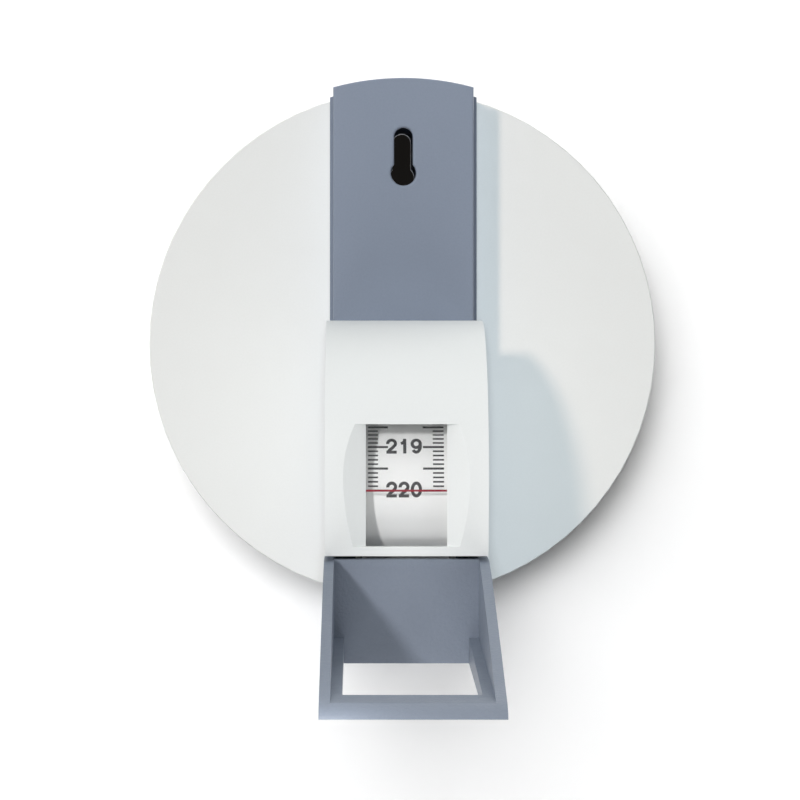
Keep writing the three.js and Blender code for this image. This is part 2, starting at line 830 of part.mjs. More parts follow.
place(drum, 'drum_axle', drumAxle(), steel);
place(drum, 'spring_arbor', springArbor(), innerPlastic);
place(drum, 'drum_hub', drumHub(), innerPlastic);
place(drum, 'wound_tape', woundTape(), tapeFilm);
place(drum, 'power_spring', powerSpring(), springSteel);

const clampScrewLength = lipBackOut - screwTipRoom - clampBackOut;
const cheekScrewLength = cheekFaceOut - discFaceOut - screwTipRoom;
const stopScrewLength = stopBackFaceOut - discFaceOut - screwTipRoom;
const housingScrewLength = coverBackOut + coverBlockDepth - 2 * screwTipRoom - discBackOut;

sides((side) => {
  const name = side < 0 ? 'left' : 'right';
  const turned = side < 0;
  const flangeX = side * flangeInsideX;
  place(instrument, `drum_cheek_${name}`, drumCheek(side), innerPlastic);
  place(drum, `drum_flange_${name}`, drumFlange(), innerPlastic, flangeX, 0, 0, turned);
  place(drum, `axle_bush_${name}`, axleBush(), innerPlastic, flangeX, 0, 0, turned);
  place(drum, `axle_clip_${name}`, axleClip(), springSteel, side * clipInsideX, 0, 0, turned);
  place(instrument, `clamp_screw_${name}`, screw(clampScrewLength), steel,
    side * clampScrewX, clampBackOut, clampUp);
  place(instrument, `back_plate_screw_${name}`, screw(plateScrewGrip), steel,
    side * plateScrewX, screwHead + fitGap, plateScrewUp);
  place(instrument, `head_stop_screw_${name}`, screw(stopScrewLength), steel,
    side * stopScrewX, stopBackFaceOut, stopScrewUp, true);
  place(instrument, `cheek_screw_${name}_upper`, screw(cheekScrewLength), steel,
    side * cheekScrewX, cheekFaceOut, cheekTopUp - cheekScrewInset, true);
  place(instrument, `cheek_screw_${name}_lower`, screw(cheekScrewLength), steel,
    side * cheekScrewX, cheekFaceOut, cheekFootUp + cheekScrewInset, true);
});

postPlaces.forEach(([x, up], index) => {
  place(instrument, `housing_screw_${index + 1}`, screw(housingScrewLength), steel, x, discBackOut, up);
});

padPlaces().forEach(([x, up], index) => {
  place(instrument, `glide_pad_${index + 1}`, rod(padRadius, 0, padThick), greyFelt, x, 0, up);
});

const stadiometer = new THREE.Group();
stadiometer.add(instrument);

export default stadiometer;
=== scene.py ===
"""The looks of a wall-hung measuring head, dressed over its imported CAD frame.

Blender works in metres, with +Z up. The wall is the plane Y = 0 and the instrument faces -Y.
Sizes here are in millimetres. A place is x to the right, out from the wall, and up from the
centre of the wall disc.
"""

import math

import bmesh
import bpy
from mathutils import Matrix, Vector


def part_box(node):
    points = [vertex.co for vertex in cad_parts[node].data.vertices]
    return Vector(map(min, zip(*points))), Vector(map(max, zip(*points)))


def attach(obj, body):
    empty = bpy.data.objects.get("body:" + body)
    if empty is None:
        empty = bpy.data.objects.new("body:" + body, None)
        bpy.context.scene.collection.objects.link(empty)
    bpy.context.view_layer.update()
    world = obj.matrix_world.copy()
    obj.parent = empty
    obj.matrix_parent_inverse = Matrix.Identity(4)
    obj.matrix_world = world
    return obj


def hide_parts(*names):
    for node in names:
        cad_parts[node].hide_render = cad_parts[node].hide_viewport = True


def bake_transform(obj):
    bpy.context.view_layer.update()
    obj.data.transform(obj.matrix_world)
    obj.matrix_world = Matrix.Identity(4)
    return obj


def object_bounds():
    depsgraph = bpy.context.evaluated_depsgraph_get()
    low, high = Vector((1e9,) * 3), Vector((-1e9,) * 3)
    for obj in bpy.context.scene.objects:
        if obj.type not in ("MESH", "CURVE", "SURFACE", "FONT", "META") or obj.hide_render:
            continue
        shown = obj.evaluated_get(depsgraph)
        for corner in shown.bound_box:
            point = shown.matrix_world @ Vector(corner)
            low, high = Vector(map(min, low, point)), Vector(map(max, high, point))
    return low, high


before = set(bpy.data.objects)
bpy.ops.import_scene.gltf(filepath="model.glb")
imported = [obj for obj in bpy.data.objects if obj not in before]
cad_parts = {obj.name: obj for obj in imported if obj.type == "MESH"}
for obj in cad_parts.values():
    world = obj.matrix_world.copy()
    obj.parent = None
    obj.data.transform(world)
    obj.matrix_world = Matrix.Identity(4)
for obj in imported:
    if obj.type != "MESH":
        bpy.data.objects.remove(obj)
cad_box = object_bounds()

MM = 0.001
HANG_DROP = 50


def spot(x, out, up):
    """A place in metres; the frame's origin lies above the disc's centre, on the wall."""
    return Vector((x * MM, -out * MM, (up - HANG_DROP) * MM))


def in_scene(name, data):
    made = bpy.data.objects.new(name, data)
    bpy.context.scene.collection.objects.link(made)
    return made


# Camera: square to the wall, as the photograph was taken

PICTURE = 800
SENSOR = 36
FOCAL_PIXELS = 2430
AXIS_PIXEL = (361, 300)
CAMERA_PLACE = spot(-10.2, 610, 10.74)

camera_data = bpy.data.cameras.new("camera")
camera_data.sensor_width = SENSOR
camera_data.lens = FOCAL_PIXELS * SENSOR / PICTURE
camera_data.shift_x = (PICTURE / 2 - AXIS_PIXEL[0]) / PICTURE
camera_data.shift_y = (AXIS_PIXEL[1] - PICTURE / 2) / PICTURE
camera = in_scene("camera", camera_data)
camera.location = CAMERA_PLACE
camera.rotation_euler = (math.pi / 2, 0, 0)
bpy.context.scene.camera = camera
bpy.context.scene.view_settings.view_transform = "Standard"


# Lamps: a key from the upper left in front, and soft light all round. The disc, the tape and the
# stage have lamps of their own, so that the disc stays even and the background white under soft
# shadows, and the head stop has a small one for the gleam at the left of its bar

WHITE = (1.0, 1.0, 1.0)
KEY_WAY = (0.46, 1, -0.30)
SKY = (0.03, 0.03, 0.03)


def sun(name, towards, strength, width, colour=WHITE):
    """A lamp from far away; its width in the sky, in degrees, softens the shadows."""
    data = bpy.data.lights.new(name, "SUN")
    data.energy = strength
    data.angle = math.radians(width)
    data.color = colour
    lamp = in_scene(name, data)
    lamp.rotation_euler = Vector(towards).to_track_quat("-Z", "Y").to_euler()
    return lamp


def glow(name, place, power, radius):
    """A small round lamp close by, which isn't seen itself."""
    data = bpy.data.lights.new(name, "POINT")
    data.energy = power
    data.shadow_soft_size = radius * MM
    lamp = in_scene(name, data)
    lamp.location = place
    lamp.visible_camera = False
    return lamp


key_lamp = sun("key_lamp", KEY_WAY, 1.3, 6, (1.0, 0.99, 0.99))
round_lamps = [
    sun("top_lamp", (0.1, 0.35, -1), 1.0, 60, (0.97, 1.0, 1.0)),
    sun("left_lamp", (1, 0.25, -0.1), 0.8, 60),
    sun("right_lamp", (-1, 0.5, -0.1), 0.85, 60, (0.96, 0.99, 1.0)),
    sun("low_lamp", (0, 0.5, 1), 1.45, 60, (1.0, 1.0, 0.99)),
    sun("fill_lamp", (0, 1, 0), 0.3, 170, (1.0, 0.93, 0.94)),
]
disc_lamps = [
    sun("disc_key_lamp", KEY_WAY, 0.98, 6, (1.0, 0.77, 0.63)),
    sun("disc_front_lamp", (0.02, 1, -0.04), 1.82, 8, (0.91, 1.0, 1.06)),
    sun("disc_edge_lamp", (0.7, 0, -0.7), 1.8, 12),
    sun("disc_low_lamp", (-0.3, 0, 1), 0.4, 60),
]
stop_lamp = glow("stop_lamp", spot(-17, 150, -66), 0.0065, 4)
tape_lamps = [
    sun("tape_key_lamp", KEY_WAY, 1.45, 6, (1.0, 0.99, 0.99)),
    sun("tape_low_lamp", (0.46, 1, 0.1), 0.4, 6),
]
back_lamp = sun("back_lamp", (-0.5, -1, -0.6), 2.2, 60)
wall_lamp = sun("wall_lamp", (0.951, 1, -0.995), 3.35, 82)
near_lamp = sun("near_lamp", (0.16, 1, -0.548), 1.25, 42)
floor_lamp = sun("floor_lamp", (0, 0, -1), 0.55, 40)
close_lamp = sun("close_lamp", (0.095, 1, -0.125), 0.25, 10)


def studio_sky():
    """A dim light from all round that looks white to the camera, in gloss and through glass."""
    world = bpy.data.worlds.new("sky")
    world.use_nodes = True
    nodes = world.node_tree.nodes
    links = world.node_tree.links
    nodes.clear()
    path = nodes.new("ShaderNodeLightPath").outputs
    seen = path["Is Camera Ray"]
    for ray in ("Is Glossy Ray", "Is Transmission Ray"):
        either = nodes.new("ShaderNodeMath")
        either.operation = "MAXIMUM"
        links.new(seen, either.inputs[0])
        links.new(path[ray], either.inputs[1])
        seen = either.outputs[0]
    pick = nodes.new("ShaderNodeMixShader")
    links.new(seen, pick.inputs["Fac"])
    for socket, colour in ((pick.inputs[1], SKY), (pick.inputs[2], WHITE)):
        light = nodes.new("ShaderNodeBackground")
        light.inputs["Color"].default_value = (*colour, 1)
        links.new(light.outputs[0], socket)
    out = nodes.new("ShaderNodeOutputWorld")
    links.new(pick.outputs[0], out.inputs["Surface"])
    return world


bpy.context.scene.world = studio_sky()


# Materials: colours are written as sRGB codes, and the sizes of their textures in millimetres


def linear(code):
    """The code's channels as linear light, by the sRGB curve."""
    channels = [(code >> shift & 255) / 255 for shift in (16, 8, 0)]
    return [c / 12.92 if c <= 0.04045 else ((c + 0.055) / 1.055) ** 2.4 for c in channels]


def shade(code, factor):
    return [min(1, c * factor) for c in linear(code)] + [1]


class Look:
    """A Principled material with its texture nodes."""

    NOISE_SPAN = (0.3, 0.7)

    def __init__(self, name):
        self.material = bpy.data.materials.new(name)
        self.material.use_nodes = True
        self.nodes = self.material.node_tree.nodes
        self.links = self.material.node_tree.links
        self.shader = self.nodes["Principled BSDF"]
        self.place = self.nodes.new("ShaderNodeTexCoord").outputs["Object"]

    def stretched(self, scale):
        node = self.nodes.new("ShaderNodeMapping")
        node.inputs["Scale"].default_value = scale
        self.links.new(self.place, node.inputs["Vector"])
        return node.outputs["Vector"]

    def noise(self, size, detail=3, vector=None):
        node = self.nodes.new("ShaderNodeTexNoise")
        node.inputs["Scale"].default_value = 1 / (size * MM)
        node.inputs["Detail"].default_value = detail
        self.links.new(vector or self.place, node.inputs["Vector"])
        return node.outputs["Fac"]

    def between(self, factor, low=0, high=1):
        """Spreads a noise's usual values over a new range."""
        node = self.nodes.new("ShaderNodeMapRange")
        node.inputs["From Min"].default_value = self.NOISE_SPAN[0]
        node.inputs["From Max"].default_value = self.NOISE_SPAN[1]
        node.inputs["To Min"].default_value = low
        node.inputs["To Max"].default_value = high
        self.links.new(factor, node.inputs["Value"])
        return node.outputs["Result"]

    def maths(self, operation, *values):
        node = self.nodes.new("ShaderNodeMath")
        node.operation = operation
        for socket, value in zip(node.inputs, values):
            if isinstance(value, (int, float)):
                socket.default_value = value
            else:
                self.links.new(value, socket)
        return node.outputs[0]

    def shared(self, first, second, share):
        """Adds two patterns, of which the first has the given share."""
        return self.maths(
            "ADD",
            self.maths("MULTIPLY", first, share),
            self.maths("MULTIPLY", second, 1 - share),
        )

    def away_from(self, centre, keep):
        """How far a point lies from a centre, along the axes that are kept."""
        vector = self.place
        for operation, other in (("SUBTRACT", centre), ("MULTIPLY", keep), ("LENGTH", None)):
            node = self.nodes.new("ShaderNodeVectorMath")
            node.operation = operation
            self.links.new(vector, node.inputs[0])
            if other is not None:
                node.inputs[1].default_value = other
            vector = node.outputs[0]
        return node.outputs["Value"]

    def tinted(self, factor, code, low, high):
        """Colours the surface between two shades of one colour."""
        node = self.nodes.new("ShaderNodeMix")
        node.data_type = "RGBA"
        self.links.new(factor, node.inputs["Factor"])
        node.inputs["A"].default_value = shade(code, low)
        node.inputs["B"].default_value = shade(code, high)
        self.links.new(node.outputs["Result"], self.shader.inputs["Base Color"])

    def roughness(self, output):
        self.links.new(output, self.shader.inputs["Roughness"])

    def bump(self, height, depth):
        node = self.nodes.new("ShaderNodeBump")
        node.inputs["Distance"].default_value = depth * MM
        node.inputs["Strength"].default_value = 1
        self.links.new(height, node.inputs["Height"])
        self.links.new(node.outputs["Normal"], self.shader.inputs["Normal"])


def moulded(name, code, roughness, grain=0.35, depth=0.006, spread=0.03, gloss=0.4):
    """Injection-moulded plastic: faint flow clouds, fine pigment and a spark-eroded grain."""
    look = Look(name)
    clouds = look.between(look.noise(14, 4))
    pigment = look.between(look.noise(0.5, 2))
    look.tinted(look.shared(clouds, pigment, 0.3), code, 1 - spread, 1 + spread)
    look.roughness(look.between(look.noise(3.5), roughness - 0.04, roughness + 0.04))
    look.bump(look.noise(grain), depth)
    look.shader.inputs["Specular IOR Level"].default_value = gloss
    return look.material


def metal(name, code, roughness, brushed=(1, 1, 1), spread=0.08):
    """Plated or spring steel: drawn streaks and a slightly uneven shine."""
    look = Look(name)
    look.shader.inputs["Metallic"].default_value = 1
    streaks = look.noise(0.25, 4, look.stretched(brushed))
    look.tinted(look.between(look.noise(2.5, 4)), code, 1 - spread, 1 + spread)
    look.roughness(look.between(streaks, roughness - 0.1, roughness + 0.12))
    look.bump(streaks, 0.004)
    return look.material


def rubber(name, code):
    """Moulded rubber with a pale bloom."""
    look = Look(name)
    look.tinted(look.between(look.noise(1.6, 5)), code, 0.85, 1.3)
    look.roughness(look.between(look.noise(0.6), 0.72, 0.9))
    look.bump(look.noise(0.3, 4), 0.02)
    return look.material


def felt(name, code):
    """Pressed wool: crossing fibres over soft clumps."""
    look = Look(name)
    along = look.noise(0.22, 6, look.stretched((1, 1, 0.12)))
    across = look.noise(0.22, 6, look.stretched((0.12, 1, 1)))
    fibres = look.maths("MAXIMUM", along, across)
    clumps = look.between(look.noise(1.1))
    look.tinted(look.shared(look.between(fibres), clumps, 0.6), code, 0.7, 1.3)
    look.roughness(look.between(clumps, 0.9, 1.0))
    look.bump(fibres, 0.12)
    look.shader.inputs["Sheen Weight"].default_value = 0.35
    return look.material


def printed_film(name, code):
    """Matt tape film with a faint length-wise calendering."""
    look = Look(name)
    lines = look.noise(0.5, 3, look.stretched((1, 0.05, 0.05)))
    look.tinted(look.between(look.noise(6)), code, 0.985, 1.01)
    look.roughness(look.between(lines, 0.36, 0.5))
    look.bump(lines, 0.003)
    return look.material


def wound_edge(name, code, centre, pitch):
    """The side of a wound strip: one dark line between each turn and the next."""
    look = Look(name)
    radius = look.away_from(centre, (0, 1, 1))
    wave = look.maths("SINE", look.maths("MULTIPLY", radius, 2 * math.pi / (pitch * MM)))
    look.tinted(look.maths("MULTIPLY_ADD", wave, 0.5, 0.5), code, 0.55, 1)
    look.roughness(look.between(look.noise(1), 0.45, 0.6))
    look.bump(wave, 0.02)
    return look.material


def ink(name, code, alpha=1):
    """Slightly uneven print."""
    look = Look(name)
    look.tinted(look.between(look.noise(0.18, 4)), code, 0.9, 1.12)
    look.roughness(look.between(look.noise(0.4), 0.45, 0.58))
    look.shader.inputs["Alpha"].default_value = alpha
    return look.material


def clear(name, code):
    """Thin clear acrylic: it lets the light through and keeps a soft gloss."""
    look = Look(name)
    look.tinted(look.noise(5, 2), code, 0.98, 1)
    look.roughness(look.between(look.noise(4), 0.03, 0.08))
    look.shader.inputs["Alpha"].default_value = 0.03
    look.shader.inputs["Specular IOR Level"].default_value = 0.3
    return look.material


FILM = 0.26
DRUM_OUT = 40
DRUM_UP = -31
DRUM_CENTRE = spot(0, DRUM_OUT, DRUM_UP)

grey_shell = moulded("grey_shell_plastic", 0x828C9C, 0.5, grain=0.5, depth=0.05, gloss=0.25)
grey_stop = moulded("grey_stop_plastic", 0x7F8896, 0.45, grain=0.6, depth=0.11)
white_disc = moulded("white_disc_plastic", 0xE9EBE9, 0.6, grain=0.5, spread=0.012)
white_cover = moulded("white_cover_plastic", 0xECEFEE, 0.42, grain=0.3, depth=0.003, spread=0.01)
inner_plastic = moulded("inner_plastic", 0xD9D8D2, 0.45, spread=0.025)
clear_pane = clear("clear_pane_acrylic", 0xF4F7F8)
tape_film = printed_film("tape_film_face", 0xF3F4F3)
tape_edge = wound_edge("tape_film_edge", 0xE8E8E4, DRUM_CENTRE, FILM)
red_ink = ink("red_line_ink", 0x8A1228, alpha=0.9)
black_ink = ink("scale_ink", 0x08070B)
steel = metal("plated_steel", 0xB8BCC2, 0.32)
shaft_steel = metal("drawn_steel", 0xB8BCC2, 0.28, brushed=(0.06, 1, 1))
spring_steel = metal("spring_steel_strip", 0x767C84, 0.38, brushed=(1, 0.1, 0.1))
dark_rubber = rubber("dark_rubber_block", 0x2F3134)
grey_felt = felt("grey_felt_pad", 0x8F9193)


# Wall and floor: only the camera sees them, and only from their front sides

WALL_GAP = 0.4
REACH = 3000
FULL_PULL = 2200
FLOOR_GAP = 4
STAGE_NOISE_SCALE = 30

# A dark sheet of painted shade on the wall behind the keyhole, standing in for the shade of the
# hollow seen through it; its edges from the origin of the frame
KEYHOLE_SHADE_HALF = 12
KEYHOLE_SHADE_LOW = -18
KEYHOLE_SHADE_HIGH = 8


def stage_material(name, code):
    material = bpy.data.materials.new(name)
    material.use_nodes = True
    nodes = material.node_tree.nodes
    links = material.node_tree.links
    nodes.clear()
    texture = nodes.new("ShaderNodeTexNoise")
    texture.inputs["Scale"].default_value = STAGE_NOISE_SCALE
    tone = nodes.new("ShaderNodeMix")
    tone.data_type = "RGBA"
    tone.inputs["A"].default_value = shade(code, 0.995)
    tone.inputs["B"].default_value = shade(code, 1)
    links.new(texture.outputs["Fac"], tone.inputs["Factor"])
    paint = nodes.new("ShaderNodeBsdfDiffuse")
    links.new(tone.outputs["Result"], paint.inputs["Color"])
    path = nodes.new("ShaderNodeLightPath")
    side = nodes.new("ShaderNodeNewGeometry")
    front = nodes.new("ShaderNodeMath")
    front.operation = "SUBTRACT"
    front.use_clamp = True
    links.new(path.outputs["Is Camera Ray"], front.inputs[0])
    links.new(side.outputs["Backfacing"], front.inputs[1])
    nothing = nodes.new("ShaderNodeBsdfTransparent")
    pick = nodes.new("ShaderNodeMixShader")
    links.new(front.outputs[0], pick.inputs["Fac"])
    links.new(nothing.outputs[0], pick.inputs[1])
    links.new(paint.outputs[0], pick.inputs[2])
    out = nodes.new("ShaderNodeOutputMaterial")
    links.new(pick.outputs[0], out.inputs["Surface"])
    return material


def stage_sheet(name, corners, material):
    mesh = bpy.data.meshes.new(name)
    mesh.from_pydata([[part * MM for part in corner] for corner in corners], [], [range(4)])
    mesh.materials.append(material)
    sheet = in_scene(name, mesh)
    return sheet


def upright(left, right, low, high, back):
    return [(left, back, low), (right, back, low), (right, back, high), (left, back, high)]


def level(left, right, front, back, height):
    return [
        (left, front, height), (right, front, height), (right, back, height), (left, back, height)
    ]


# The floor lies just under the tray's lowest place, at the full pull
floor_level = cad_box[0][2] / MM - FULL_PULL - FLOOR_GAP

wall_paint = stage_material("wall_paint", 0xFFFFFF)
# Painted shade: a dark sheet behind the keyhole, so that the hollow seen through the keyhole
# looks dark
keyhole_shade_paint = stage_material("keyhole_shade_paint", 0x242220)
wall = stage_sheet("wall", upright(-REACH, REACH, floor_level, REACH, WALL_GAP), wall_paint)
keyhole_shade_sheet = stage_sheet(
    "keyhole_shade_sheet",
    upright(-KEYHOLE_SHADE_HALF, KEYHOLE_SHADE_HALF, KEYHOLE_SHADE_LOW, KEYHOLE_SHADE_HIGH, WALL_GAP / 2),
    keyhole_shade_paint,
)
floor = stage_sheet("floor", level(-REACH, REACH, -REACH, WALL_GAP, floor_level), wall_paint)


# Pieces: finer meshes in the places of their CAD nodes

SHARP_ANGLE = 34
FLAT_ANGLE = 0.4
WELD = 0.002
SAME_PLACE = 0.001


def piece(name, bm, body, materials, stands_for=(), blend=None):
    """Turns a bmesh into a smooth-shaded object that rides on a body, or stays fixed in place
    when blend is given.
    """
    for face in bm.faces:
        face.smooth = True
    for edge in bm.edges:
        inner = len(edge.link_faces) == 2
        edge.smooth = not inner or edge.calc_face_angle(0) < math.radians(SHARP_ANGLE)
    mesh = bpy.data.meshes.new(name)
    bm.to_mesh(mesh)
    bm.free()
    for material in materials:
        mesh.materials.append(material)
    made = in_scene(name, mesh)
    if blend:
        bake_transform(made)
    else:
        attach(made, body)
    if stands_for:
        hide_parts(*stands_for)
    weigh = made.modifiers.new("weighted_normals", "WEIGHTED_NORMAL")
    weigh.keep_sharp = True
    return made


def clean_copy(node):
    """The node's solid with coplanar triangles joined into whole faces."""
    bm = bmesh.new()
    bm.from_mesh(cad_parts[node].data)
    bmesh.ops.remove_doubles(bm, verts=bm.verts, dist=WELD * MM)
    bmesh.ops.dissolve_limit(
        bm,
        angle_limit=math.radians(FLAT_ANGLE),
        verts=bm.verts,
        edges=bm.edges,
        use_dissolve_boundaries=False,
    )
    return bm


def rounded(bm, width, segments=2, pick=lambda edge: True, angle=40):
    """Rounds the convex edges that pick allows and that turn by more than the angle."""
    edges = [
        edge for edge in bm.edges
        if len(edge.link_faces) == 2
        and edge.is_convex
        and edge.calc_face_angle(0) > math.radians(angle)
        and pick(edge)
    ]
    bmesh.ops.bevel(
        bm,
        geom=edges,
        offset=width * MM,
        offset_type="OFFSET",
        segments=segments,
        profile=0.5,
        affect="EDGES",
        clamp_overlap=True,
        loop_slide=True,
    )
    return bm


def softened(node, body, material, width, pick=lambda edge: True):
    bm = rounded(clean_copy(node), width, pick=pick)
    return piece(f"{node}_finished", bm, body, [material], (node,))


# Hanger: bevelled, apart from the keyhole's rim, which is rebuilt because a bevel crosses
# itself there

SHELL_ROUNDING = 0.25
KEYHOLE_ROUNDING = 0.6
RIM_STEPS = 4
KEYHOLE_MIDDLE = -4
KEYHOLE_ROOM = (5, 9)


def at_keyhole(edge):
    """Whether an edge lies in the room round the keyhole's middle, right across the hanger."""
    across, upward = KEYHOLE_ROOM
    return all(
        abs(corner.co.x) < across * MM and abs(corner.co.z - KEYHOLE_MIDDLE * MM) < upward * MM
        for corner in edge.verts
    )


def away_from_keyhole(edge):
    return not at_keyhole(edge)


def rim_corners(rim):
    """The corners of a closed rim, one after the other."""
    corners = [rim[0].verts[0]]
    after = rim[0].verts[1]
    while after is not corners[0]:
        before = corners[-1]
        corners.append(after)
        after = next(
            edge.other_vert(after) for edge in after.link_edges
            if edge in rim and edge.other_vert(after) is not before
        )
    area = sum(
        a.co.x * b.co.z - b.co.x * a.co.z for a, b in zip(corners, corners[1:] + corners[:1])
    )
    if area < 0:
        corners.reverse()
    return corners


def keyhole_rounded(bm):
    """Rounds the rim of the hanger's keyhole and fills its front in again round it."""
    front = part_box("hanger_shell")[0][1]
    flat = [
        face for face in bm.faces
        if all(abs(corner.co.y - front) < SAME_PLACE * MM for corner in face.verts)
    ]
    border = [edge for edge in bm.edges if sum(face in flat for face in edge.link_faces) == 1]
    outline = [edge for edge in border if away_from_keyhole(edge)]
    rim = rim_corners([edge for edge in border if at_keyhole(edge)])
    bmesh.ops.delete(bm, geom=flat, context="FACES_ONLY")
    bmesh.ops.delete(bm, geom=[edge for edge in bm.edges if edge.is_wire], context="EDGES")

    count = len(rim)
    outwards = []
    for index in range(count):
        along = rim[(index + 1) % count].co - rim[index - 1].co
        outwards.append(Vector((along.z, 0, -along.x)).normalized())
    places = [corner.co.copy() for corner in rim]
    for corner in rim:
        corner.co.y = front + KEYHOLE_ROUNDING * MM
    rows = [rim]
    for step in range(1, RIM_STEPS + 1):
        angle = math.pi / 2 * step / RIM_STEPS
        grow = KEYHOLE_ROUNDING * (1 - math.cos(angle)) * MM
        sink = KEYHOLE_ROUNDING * (1 - math.sin(angle)) * MM
        rows.append([
            bm.verts.new(place + outward * grow + Vector((0, sink, 0)))
            for place, outward in zip(places, outwards)
        ])
    for inner, outer in zip(rows, rows[1:]):
        for index in range(count):
            after = (index + 1) % count
            bm.faces.new((inner[index], inner[after], outer[after], outer[index]))
    last = rows[-1]
    around = [bm.edges.get((last[index - 1], last[index])) for index in range(count)]
    bmesh.ops.triangle_fill(bm, edges=outline + around, use_beauty=True)
    bmesh.ops.recalc_face_normals(bm, faces=bm.faces)
    return bm


hanger_mesh = rounded(clean_copy("hanger_shell"), SHELL_ROUNDING, pick=away_from_keyhole)
hanger_piece = piece(
    "hanger_shell_finished", keyhole_rounded(hanger_mesh), "hanger", [grey_shell],
    ("hanger_shell",),
)
softened(
    "hanger_back_plate", "hanger", grey_shell, SHELL_ROUNDING,
    pick=away_from_keyhole,
)


# Carriage: disc, spine, window cover, head stop, bumper and felt pads

DISC_RADIUS = 62.5
DISC_SHOULDER = 0.2
DISC_ROUNDING = 0.15
CHAMFER_REACH = 0.8
CHAMFER_NEAR = 0.1
SPINE_ROUNDING = 0.2
COVER_ROUNDING = 0.45
COVER_ANGLE = 20
NOSE_OUT = 124
NOSE_LENGTH = 25
NOSE_ROUNDING = 1.6
NOSE_ANGLE = 20
STOP_ROUNDING = 0.5
BUMPER_ROUNDING = 0.35
PAD_ROUNDING = 0.3
PADS = 4


def crisp_disc():
    """The disc with its front edge closer to square than the CAD's chamfer."""
    bm = clean_copy("wall_disc")
    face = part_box("wall_disc")[0][1]
    for corner in bm.verts:
        radius = math.hypot(corner.co.x, corner.co.z + HANG_DROP * MM)
        inward = DISC_RADIUS - radius / MM
        behind = (corner.co.y - face) / MM
        if behind < CHAMFER_NEAR < inward < CHAMFER_REACH:
            grow = (DISC_RADIUS - DISC_SHOULDER) * MM / radius
            corner.co.x *= grow
            corner.co.z = (corner.co.z + HANG_DROP * MM) * grow - HANG_DROP * MM
        elif inward < CHAMFER_NEAR and behind < CHAMFER_REACH:
            corner.co.y = face + DISC_SHOULDER * MM
    return bm


def along_nose(edge):
    """Whether an edge is one of the long ones of the head stop's front bar."""
    first, second = edge.verts
    return max(first.co.y, second.co.y) < -NOSE_OUT * MM and (
        abs(first.co.x - second.co.x) > NOSE_LENGTH * MM
    )


disc_piece = piece(
    "wall_disc_finished", rounded(crisp_disc(), DISC_ROUNDING), "carriage", [white_disc],
    ("wall_disc",),
)
softened("carriage_spine", "carriage", grey_shell, SPINE_ROUNDING)
cover_mesh = rounded(clean_copy("window_cover"), COVER_ROUNDING, 3, angle=COVER_ANGLE)
piece(
    "window_cover_finished", cover_mesh, "carriage", [white_cover],
    ("window_cover",),
)
stop_mesh = rounded(clean_copy("head_stop"), NOSE_ROUNDING, 6, along_nose, NOSE_ANGLE)
stop_piece = piece(
    "head_stop_finished", rounded(stop_mesh, STOP_ROUNDING, 3), "carriage", [grey_stop],
    ("head_stop",),
)
softened("stop_bumper", "carriage", dark_rubber, BUMPER_ROUNDING)
for index in range(1, PADS + 1):
    softened(f"glide_pad_{index}", "carriage", grey_felt, PAD_ROUNDING)


# Screws: pan heads with a cross recess

HEAD_HEIGHT = 1.4
# Radius of the head and depth under its top, from the flat top round to the underside
HEAD_OUTLINE = ((1.45, 0), (1.72, 0.06), (1.9, 0.2), (2, 0.5), (2, HEAD_HEIGHT))
SHANK_RADIUS = 1.1
TIP_RADIUS = 0.6
TIP_LENGTH = 0.5
RECESS_REACH = 1.05
RECESS_HALF = 0.28
RECESS_DEPTH = 0.8
RECESS_TAPER = 0.72
SCREW_STEPS = 32
HOUSING_SCREWS = 4


def cross_outline(scale):
    a = RECESS_REACH * scale
    b = RECESS_HALF * scale
    return [
        (a, -b), (a, b), (b, b), (b, a), (-b, a), (-b, b),
        (-a, b), (-a, -b), (-b, -b), (-b, -a), (b, -a), (b, -b),
    ]


def screw(node, body, towards_wall):
    """Rebuilds a screw in the box of its node; depth is counted from the top of its head."""
    low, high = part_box(node)
    x = (low[0] + high[0]) / 2
    z = (low[2] + high[2]) / 2
    top = high[1] if towards_wall else low[1]
    inward = -1 if towards_wall else 1
    length = (high[1] - low[1]) / MM
    bm = bmesh.new()

    def ring(points, depth):
        return [
            bm.verts.new((x + a * MM, top + inward * depth * MM, z - inward * b * MM))
            for a, b in points
        ]

    def circle(radius, depth):
        turns = [2 * math.pi * step / SCREW_STEPS for step in range(SCREW_STEPS)]
        return ring([(radius * math.cos(t), radius * math.sin(t)) for t in turns], depth)

    def joined(first, second):
        for index, corner in enumerate(first):
            after = (index + 1) % len(first)
            bm.faces.new((corner, first[after], second[after], second[index]))

    shank = (
        (SHANK_RADIUS, HEAD_HEIGHT), (SHANK_RADIUS, length - TIP_LENGTH), (TIP_RADIUS, length)
    )
    rings = [circle(radius, depth) for radius, depth in HEAD_OUTLINE + shank]
    for first, second in zip(rings, rings[1:]):
        joined(first, second)
    bm.faces.new(rings[-1])
    mouth = ring(cross_outline(1), 0)
    bottom = ring(cross_outline(RECESS_TAPER), RECESS_DEPTH)
    joined(bottom, mouth)
    bm.faces.new(bottom)
    top_edges = [
        bm.edges.get((loop[i - 1], loop[i])) or bm.edges.new((loop[i - 1], loop[i]))
        for loop in (rings[0], mouth) for i in range(len(loop))
    ]
    bmesh.ops.triangle_fill(bm, edges=top_edges, use_beauty=True)
    bmesh.ops.recalc_face_normals(bm, faces=bm.faces)
    return piece(f"{node}_finished", bm, body, [steel], (node,))


for index in range(1, HOUSING_SCREWS + 1):
    screw(f"housing_screw_{index}", "carriage", True)
for side in ("left", "right"):
    screw(f"back_plate_screw_{side}", "hanger", True)
    screw(f"clamp_screw_{side}", "hanger", True)
    screw(f"head_stop_screw_{side}", "carriage", False)
    for place in ("upper", "lower"):
        screw(f"cheek_screw_{side}_{place}", "carriage", False)


